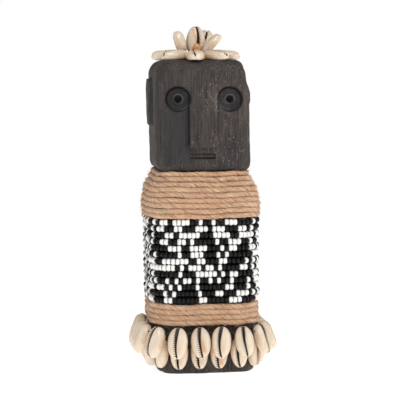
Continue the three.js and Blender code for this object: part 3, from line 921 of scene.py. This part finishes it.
# %% Bead materials
black_glass = Finish("black_bead_glass", Specular_IOR_Level=0.2)
black_cloud = black_glass.noise(black_glass.place(), 900, 2)
black_beads_finish = black_glass.finish(
    Base_Color=black_glass.blend(black_cloud, hue("050506"), hue("0E0E0F")),
    Roughness=0.10 + black_cloud * 0.14)
white_glass = Finish("white_bead_glass", Specular_IOR_Level=0.5, Coat_Weight=0.2,
                     Coat_Roughness=0.15)
white_cloud = white_glass.noise(white_glass.place(), 260, 2)
white_grime = white_glass.step(white_glass.noise(white_glass.place(), 1200, 3), 0.60, 0.78)
white_beads_finish = white_glass.finish(
    Base_Color=white_glass.blend(white_grime * 0.35, white_glass.blend(
        white_cloud, hue("FAF9F6"), hue("F0EDE8")), hue("CFC6BA")),
    Roughness=0.28 + white_cloud * 0.14)

# %% The bead chart
BEAD_PITCH = 2.64
CORNER = 17.4                        # how far outside the trunk's core the beads turn a corner
CHART_START = 1.7                    # how many beads the chart lies to the left of the middle
CHART = """
    KKWKWWKWWWWKKWKKWKKWWWKKK    WKWWKKWWKKKWWWKWWWKKKWW       WKWKWWWKWWWWKKWKWWWWKKWW
    WKKWWKKWWKWKKKKKWKKWWWKK     KKKKKWWWKKWWWWKKKWKWWKKK      WKWKKKKKWKKWWWKKKWKWKKKKK
    WWKKWWWWWWKKWWKKKWWKKKKWK    WWWWWWKWKWWWKWWKWKKKKWW       WKKKKKKWKKKWWWWWKWKWWKK
    KWKKWKWKWWKWKKWKWKKWKKK      WKWWKWKWKKKWKKKKKKWWKKKW      WKKKKKWKWKKKKKWKKKWWKKKWWWKW
    WWKKKWWKKKKKKWWKKKKKWWWKKK""".split()


def chart_slot(place, way, row):
    """Which letter of its row a bead takes, counted along the turn from the front's middle."""
    x = place[0] + LEAN * place[2]
    if place[1] >= -TRUNK_CORE[1] and way[1] >= -0.02:
        return -1
    angle = math.atan2(way[0], -way[1])
    if abs(angle) > 0.01:
        x = float(np.clip(x - way[0] * CORNER, -TRUNK_CORE[0], TRUNK_CORE[0])) + angle * CORNER
    return int(math.floor(x / BEAD_PITCH + CHART_START + len(row) / 2 + 0.5))


# %% One bead, and copies of it


def bead(name):
    bpy.ops.object.select_all(action="DESELECT")
    bpy.ops.mesh.primitive_torus_add(major_segments=10, minor_segments=6, major_radius=1.27 * MM,
                                     minor_radius=0.72 * MM, location=(0, 0, 0))
    obj = bpy.context.object
    obj.name = name
    with shaping(obj):
        bpy.ops.mesh.select_all(action="SELECT")
        bpy.ops.transform.rotate(value=math.radians(30), orient_axis="Z", center_override=(0, 0, 0))
    push(obj, "Z", lambda p: p.z * 0.84)
    return obj


def copies(name, template, poses):
    """One mesh of many copies of a template, each put in place by its matrix."""
    corners = np.array([v.co for v in template.data.vertices])
    faces = [list(p.vertices) for p in template.data.polygons]
    points, all_faces = [], []
    for n, pose in enumerate(poses):
        turn = np.array(pose.to_3x3())
        points.append(corners @ turn.T + np.array(pose.translation))
        all_faces += [[v + n * len(corners) for v in f] for f in faces]
    obj = new_piece(name, np.concatenate(points).tolist(), all_faces)
    bpy.ops.object.shade_smooth()
    return obj


def frame_at(place, ahead, out, roll):
    """A pose whose Z runs along a line and whose X points outwards."""
    z = Vector(ahead).normalized()
    y = z.cross(Vector(out)).normalized()
    x = y.cross(z)
    pose = Matrix((x, y, z)).transposed().to_4x4()
    pose.translation = Vector(place)
    return pose @ Matrix.Rotation(roll, 4, "Z")


# %% String the beads
random.seed(7)
places, ways, turns = route_round("bead_strand", every=0.25)
gone = np.concatenate([[0], np.cumsum(np.linalg.norm(np.diff(places, axis=0), axis=1))])
threaded = {"K": [], "W": []}
colour, at = "K", BEAD_PITCH / 2
while at < gone[-1]:
    i = int(np.searchsorted(gone, at))
    place, way = places[i], ways[i]
    ahead = places[min(i + 4, len(places) - 1)] - places[max(i - 4, 0)]
    row = CHART[int(turns[i])]
    slot = chart_slot(place, way, row)
    if 0 <= slot < len(row):
        colour = row[slot]
    elif random.random() > 0.52:
        colour = "K" if colour == "W" else "W"
    size = random.uniform(0.97, 1.03)
    stretch = random.uniform(0.95, 1.02)
    tilt = Matrix.Rotation(random.uniform(-0.09, 0.09), 4, "X")
    tilt = tilt @ Matrix.Rotation(random.uniform(-0.09, 0.09), 4, "Y")
    outwards = random.uniform(-0.05, 0.18)
    middle = (place + way * outwards + (0, 0, random.uniform(-0.12, 0.12))) * MM
    pose = frame_at(middle, ahead, way, random.uniform(0, 6.28))
    threaded[colour].append(pose @ tilt @ Matrix.Diagonal((size, size, stretch, 1)))
    at += BEAD_PITCH * random.uniform(0.96, 1.04)
template = bead("bead")
for letter, name, finish, slot_name in (("K", "black_beads", black_beads_finish, "bead_black"),
                                        ("W", "white_beads", white_beads_finish, "bead_white")):
    beads = copies(name, template, threaded[letter])
    beads.data.materials.append(finish)
    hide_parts("bead_strand")
    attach(beads, "doll")
    print(name, len(threaded[letter]))
bpy.data.objects.remove(template)

# %% [markdown]
# The beads are threaded on waxed cotton. It shows only as a dark line in the gaps, but without it
# the strand would hang on nothing.

# %% The beads' thread
thread_finish = Finish("waxed_thread", Specular_IOR_Level=0.3)
thread_route = thread_finish.stretch(thread_finish.read("route", "Vector"), 900, 6, 6)
thread_twist = thread_finish.noise(thread_route, 1, 3)
waxed_thread = thread_finish.finish(
    Base_Color=thread_finish.blend(thread_twist, hue("2B241D"), hue("57493A")),
    Roughness=0.75 - thread_twist * 0.2,
    Normal=thread_finish.bump(thread_twist, 0.5, 0.05 * MM))
places, ways, _ = route_round("bead_strand", every=1.6)
bead_thread = cord_mesh("bead_thread", places, ways, 0.42, 2, 2.4, around=6, groove=0.2, seed=3)
bead_thread.data.materials.append(waxed_thread)
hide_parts("bead_strand")
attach(bead_thread, "doll")

# %% [markdown]
# ## Cowrie shells
#
# A cowrie has a glossy, rounded underside with a long toothed slit. Its humped back has been ground
# off, so that it lies flat and can be strung, and the grinding opens it: the hollow shows from
# behind. The slit leaves the top end as an open notch, bends like a bracket, narrows on the way and
# comes back to the middle at the bottom end. The lip on the left is narrow and ridged, and the one
# on the right is broad, smooth and swollen.
#
# A shell starts as a sphere stood on its end. `mould` then moves each of its points to where the
# same point of a shell lies. The sphere's columns are drawn together beside the slit, where the
# teeth need them.

# %% Shell material
shell = Finish("cowrie_shell", Specular_IOR_Level=0.5, Coat_Weight=0.5, Coat_Roughness=0.12)
lie = shell.read("lie", "Vector")             # across and along from -1 to 1, and mm from the slit
tint = shell.read("tint")
# inside is how deep a point lies in the slit or the hollow back; the material darkens it as painted
# shade
inside = shell.read("inside")
across, lengthways, from_slit = shell.parts(lie)
shell_cloud = shell.noise(shell.stretch(lie, 1.2, 1.6, 0.35), 1.7, 3, 0.55)
shell_band = shell.noise(shell.stretch(lie, 4, 1.0, 1.2), 1, 3, 0.6, 0.8)
edge_blush = shell.step(abs(across) + shell_cloud * 0.6, 1.0, 1.35)
teardrop = (shell.step(from_slit, 0.3, 0.9) * shell.step(from_slit + lengthways * 1.6, 3.4, 1.4)
            * shell.step(lengthways, 0.45, -0.05) * shell.step(lengthways, -0.95, -0.5))
shell_tone = shell.blend(shell_cloud, hue("EADCC9"), hue("D8C2A6"))
# painted shade: the notches between the teeth are darkened in colour
tooth_wave = shell.node("Math", {"operation": "SINE"}, [lengthways * 47.5 + tint * 3])
shade_between_teeth = shell.step(tooth_wave, 0.1, 0.75)
left_teeth = shell.step(from_slit, -2.3, -1.1) * shell.step(from_slit, 0.2, -0.2)
right_teeth = (shell.step(from_slit, 1.9, 1.1) * shell.step(from_slit, -0.2, 0.2)
               * shell.step(lengthways, 0.0, 0.45))
# the last two marks are painted shade: in the notches between the teeth, and deep in the slit and
# the hollow back
for mask, colour in ((edge_blush * 0.45, "CF9F74"),
                     (teardrop * shell.step(tint, -0.4, 0.9) * 0.85, "D08E58"),
                     (shell.step(shell_band, 0.54, 0.76) * 0.32, "B99A7A"),
                     (shell.step(tint, 0.2, 1.0) * 0.25, "CBB8A4"),
                     (shade_between_teeth * (left_teeth * 0.85 + right_teeth * 0.6), "3A241C"),
                     (shell.step(inside, 0.12, 0.62), "2B1A18")):
    shell_tone = shell.blend(mask, shell_tone, hue(colour))
cowrie_finish = shell.finish(
    Base_Color=shell_tone,
    Roughness=0.27 + shell_cloud * 0.16 + inside * 0.35,
    Normal=shell.bump(shell_band, 0.15, 0.1 * MM))

# %% Mould a piece


def mould(obj, target):
    """Moves every point of a piece to target(point), with one push along each axis."""
    moves = [target(v.co.copy()) - v.co for v in obj.data.vertices]
    for axis in range(3):
        push(obj, "XYZ"[axis], [move[axis] for move in moves])
    return obj


def ramp(value, low, high):
    t = min(1.0, max(0.0, (value - low) / (high - low)))
    return t * t * (3 - 2 * t)


# %% One cowrie


def cowrie(name, length, width, front, back, top, variant):
    """A ground cowrie. Its slit faces -Y, and its top end is at z = top."""
    pick_one = random.Random(variant).uniform
    bow, skew = pick_one(1.15, 1.75), pick_one(-0.25, 0.35)
    mouth, phase, fullness = pick_one(0.9, 1.12), pick_one(0, 1), pick_one(2.0, 2.2)
    taper, swell = pick_one(0.02, 0.08), pick_one(0.35, 0.7)
    half, wide = length / 2, width / 2
    bpy.ops.object.select_all(action="DESELECT")
    bpy.ops.mesh.primitive_uv_sphere_add(segments=56, ring_count=64, radius=1, location=(0, 0, 0))
    obj = bpy.context.object
    obj.name = name
    notes = []

    def slit_at(u):
        """Where the slit's middle lies, and its half width, at u from -1 (bottom) to 1 (top)."""
        middle = -bow * (1 - u * u) ** 0.8 + skew * (1 - abs(u)) * u
        return middle, 0.42 + (mouth - 0.42) * ramp(u, -0.7, 0.95)

    def target(p):
        rise = math.asin(max(-1.0, min(1.0, p.z))) / (math.pi / 2)
        u = rise * (1.18 - 0.18 * rise * rise)               # evens out the rings
        turn = math.atan2(p.x, -p.y)                         # 0 at the slit, pi at the back
        side = 1 if turn >= 0 else -1
        reach = wide * max(0.0, 1 - abs(u) ** fullness) ** (1 / fullness) * (1 + taper * u)
        thick = max(0.0, 1 - abs(u) ** 3.4) ** (1 / 2.6)
        middle, gape = slit_at(u)
        middle *= min(1.0, reach / wide * 1.6)
        if abs(turn) <= math.pi / 2:
            t = abs(turn) / (math.pi / 2)
            near = min(gape + 0.95, 0.55 * reach)
            x = middle + side * near * (t / 0.46 if t < 0.46 else 1)
            if t >= 0.46:
                s = math.sin((t - 0.46) / 0.54 * math.pi / 2)
                x += (side * reach - x) * s
            share = min(1.0, abs(x) / max(1e-6, reach))
            y = -front * thick * (1 - share ** 2.5) ** (1 / 2.2)
            off = x - middle
            z = u * half
            # the right lip swells, and the left lip is ridged
            if off > 0:
                out = min(1.0, off / max(1e-6, reach - middle))
                y -= swell * thick * math.sin(math.pi * out ** 0.8)
                tooth = 0.26 * ramp(u, -0.1, 0.6)
            else:
                tooth = 0.46 * (1 - abs(u) ** 5)
            wave = 0.5 + 0.5 * math.cos(2 * math.pi * (z / 1.3 + phase))
            edge = gape + tooth * (wave - 0.5) * 1.3
            sunk = 1 - ramp(abs(off), edge - 0.22, edge + 0.30)
            y += min(2.3, -y * 0.6 + 0.2) * sunk
            ridge = math.exp(-((abs(off) - gape - 0.75) / 0.6) ** 2)
            y -= ridge * (0.12 + tooth * 0.8 * (1 - wave)) * thick
            # the ends are notched where the slit runs out
            end = ramp(abs(u), 0.90, 1.0) * math.exp(-(off / 0.75) ** 2)
            z -= math.copysign(0.85 * end, u)
            notes.append((x / wide, u, off, max(sunk, 0.9 * end)))
        else:
            t = 2 - abs(turn) / (math.pi / 2)                # 1 at the edge, 0 at the back's middle
            x = side * reach * math.sin(t * math.pi / 2)
            share = min(1.0, abs(x) / max(1e-6, reach))
            y = back * thick * (1 - share ** 5) ** (1 / 3.2)
            y = min(y, 0.92 * back)
            pit = ramp(0.66 - math.hypot(x / wide, 0.9 * u), 0.0, 0.12)
            y -= 2.0 * pit
            z = u * half
            notes.append((x / wide, u, 6, 0.75 * pit))
        return Vector((x, y, z + top - half)) * MM

    mould(obj, target)
    write(obj.data, "lie", "FLOAT_VECTOR", "vector", [n[:3] for n in notes])
    # how deep in the slit or the hollow back each point lies, which the material darkens as painted
    # shade
    write(obj.data, "inside", "FLOAT", "value", [n[3] for n in notes])
    alone(obj)
    bpy.ops.object.shade_smooth()
    return obj


# %% Copy a shell and place it


def copy_of(template, name, pose, tint):
    """A copy with its own mesh, put in place, and tinted."""
    obj = bpy.data.objects.new(name, template.data.copy())
    scene.collection.objects.link(obj)
    obj.data.transform(pose)
    write(obj.data, "tint", "FLOAT", "value", [tint] * len(obj.data.vertices))
    obj.data.materials.append(cowrie_finish)
    return obj


def facing(way, tilt, roll=0.0):
    """Turns a shell's slit towards way, swings its lower end out by tilt, and rolls it."""
    return (Matrix.Rotation(math.atan2(way[0], -way[1]), 4, "Z") @ Matrix.Rotation(-tilt, 4, "X")
            @ Matrix.Rotation(roll, 4, "Y"))


def outward(joint):
    """A hinge's place, and the way out from the doll that is square to its axis."""
    hole, axis = Vector(joint["pos_m"]), Vector(joint["axis"])
    way = Vector((axis.y, -axis.x, 0))
    return hole, way if way.dot(hole * Vector((1, 1, 0))) > 0 else -way


# %% Hang the skirt
rows = {"upper": [cowrie("upper_shape", 19.6, 12.5, 4.2, 2.5, 3.6, v) for v in (1, 2, 3, 4)],
        "lower": [cowrie("lower_shape", 19.4, 11.1, 4.0, 2.5, 3.6, v) for v in (5, 6, 7)]}
tilts = {"upper": math.radians(22), "lower": 0.0}
random.seed(21)
for joint in frame["joints"]:
    row = joint["name"].split("_")[0]
    number = joint["name"][-2:]
    hole, way = outward(joint)
    roll = math.radians(random.uniform(-4, 4))
    size = random.uniform(0.955, 0.985)
    pose = (Matrix.Translation(hole) @ facing(way, tilts[row], roll)
            @ Matrix.Diagonal((size, size, random.uniform(0.97, 1.0), 1)))
    shape = rows[row][random.randrange(len(rows[row]))]
    piece = copy_of(shape, f"{row}_shell_{number}_cowrie", pose, random.uniform(-1, 1))
    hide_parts(f"{row}_cowrie_{number}")
    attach(piece, joint["child"])
for shape in rows["upper"] + rows["lower"]:
    bpy.data.objects.remove(shape)

# %% [markdown]
# ## The flower
#
# Eight cowries lie flat on the head with their slits up, and four stand inside them, leaning out.
# Each is turned as its CAD node is, and then moved until the middle of its box is the middle of the
# node's box. A run of amber glue shows between them.

# %% Set the petals
FLAT = (19.4, 11.7, 3.4, 2.4)        # length, width, front and back
STANDING = ((82, 16, 19.4, 12), (149.5, 20, 14.5, 9.6), (-6, 42, 17, 10.4), (64, 50, 19.4, 12))
petals = [(f"crown_flat_cowrie_{i + 1:02d}", math.radians(-98 + 45 * i), math.radians(87), FLAT)
          for i in range(8)]
petals += [(f"crown_standing_cowrie_{i + 1:02d}", math.radians(direction),
            math.radians(180 - lean), (length, width, 3.3, 2.2))
           for i, (direction, lean, length, width) in enumerate(STANDING)]
for i, (node, direction, tilt, sizes) in enumerate(petals):
    shape = cowrie("petal_shape", *sizes, 0, 11 + i)
    way = (math.cos(direction), math.sin(direction))
    piece = copy_of(shape, node.replace("crown", "petal"), facing(way, tilt), random.uniform(-1, 1))
    bpy.data.objects.remove(shape)
    low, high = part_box(node)
    corners = np.array([v.co for v in piece.data.vertices])
    middle = Vector((corners.min(0) + corners.max(0)) / 2)
    piece.data.transform(Matrix.Translation((low + high) / 2 - middle))
    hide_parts(node)
    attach(piece, "doll")
print("flower:", len(petals), "cowries")

# %% [markdown]
# The glue is an amber lump in the middle and a flat run of it under the petals. Each is a ball
# squashed to its size, and a cloud pattern pushes its surface in and out as drips do.

# %% Amber glue
amber = Finish("amber_glue", Subsurface_Weight=0.3, Subsurface_Scale=0.003, Coat_Weight=0.6,
               Coat_Roughness=0.1)
amber.shader.inputs["Subsurface Radius"].default_value = (1.0, 0.5, 0.2)
amber_cloud = amber.noise(amber.place(), 260, 3)
amber_finish = amber.finish(Base_Color=amber.blend(amber_cloud, hue("B5712F"), hue("DDA55F")),
                            Roughness=0.22 + amber_cloud * 0.2,
                            Normal=amber.bump(amber_cloud, 0.3, 0.3 * MM))
runs = bpy.data.textures.new("glue_runs", "CLOUDS")
runs.noise_scale = 2.6 * MM


def lump(name, middle, half_size, fineness, drip):
    """A squashed ball of glue with an uneven surface."""
    bpy.ops.object.select_all(action="DESELECT")
    bpy.ops.mesh.primitive_ico_sphere_add(subdivisions=fineness, radius=1, location=middle[:])
    obj = bpy.context.object
    obj.name = name
    obj.scale = half_size
    settle(obj)
    return change(obj, "DISPLACE", texture=runs, texture_coords="LOCAL", strength=drip * MM,
                  mid_level=0.6)


low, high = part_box("crown_glue")
glue = lump("petal_glue", (low + high) / 2 + Vector((0, -0.8, 1.2)) * MM,
            [(b - a) / 2 * 1.02 for a, b in zip(low, high)], 4, 1.3)
bed = lump("glue_bed", Vector(((low.x + high.x) / 2, (low.y + high.y) / 2 + 1.6 * MM,
                               (head_top + 0.9) * MM)),
           [size * MM for size in (16, 15.5, 2.2)], 5, 1.6)
join(glue, bed)
bpy.ops.object.shade_smooth()
glue.data.materials.append(amber_finish)
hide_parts("crown_glue")
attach(glue, "doll")
print("glue:", len(glue.data.polygons), "faces")

# %% [markdown]
# ## Strings of the skirt
#
# Each row hangs on one closed string. It runs straight through every shell's hole and turns between
# one shell and the next, so its line is drawn from the hinges: through each hole, and a little to
# both sides of it.

# %% Shell strings
for row, width in (("upper", 12.7), ("lower", 11.2)):
    corners, outs = [], []
    for joint in frame["joints"]:
        if joint["name"].startswith(row):
            hole, way = outward(joint)
            for side in (-1, 1):
                corners.append(hole / MM + Vector((-way.y, way.x, 0)) * side * width * 0.42)
                outs.append(way)
    line, line_ways = [], []
    for i, corner in enumerate(corners):
        after = corners[(i + 1) % len(corners)]
        steps = max(1, round((after - corner).length / 0.9))
        for s in range(steps):
            line.append(corner.lerp(after, s / steps))
            line_ways.append(outs[i].lerp(outs[(i + 1) % len(outs)], s / steps).normalized())
    string = cord_mesh(f"{row}_shell_string", np.array([p[:] for p in line]),
                       np.array([w[:] for w in line_ways]), 0.45, 2, 3.0, around=8, groove=0.22,
                       closed=True, seed=5)
    string.data.materials.append(waxed_thread)
    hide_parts(f"{row}_string")
    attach(string, "doll")
    print(string.name, len(line), "places on its line")
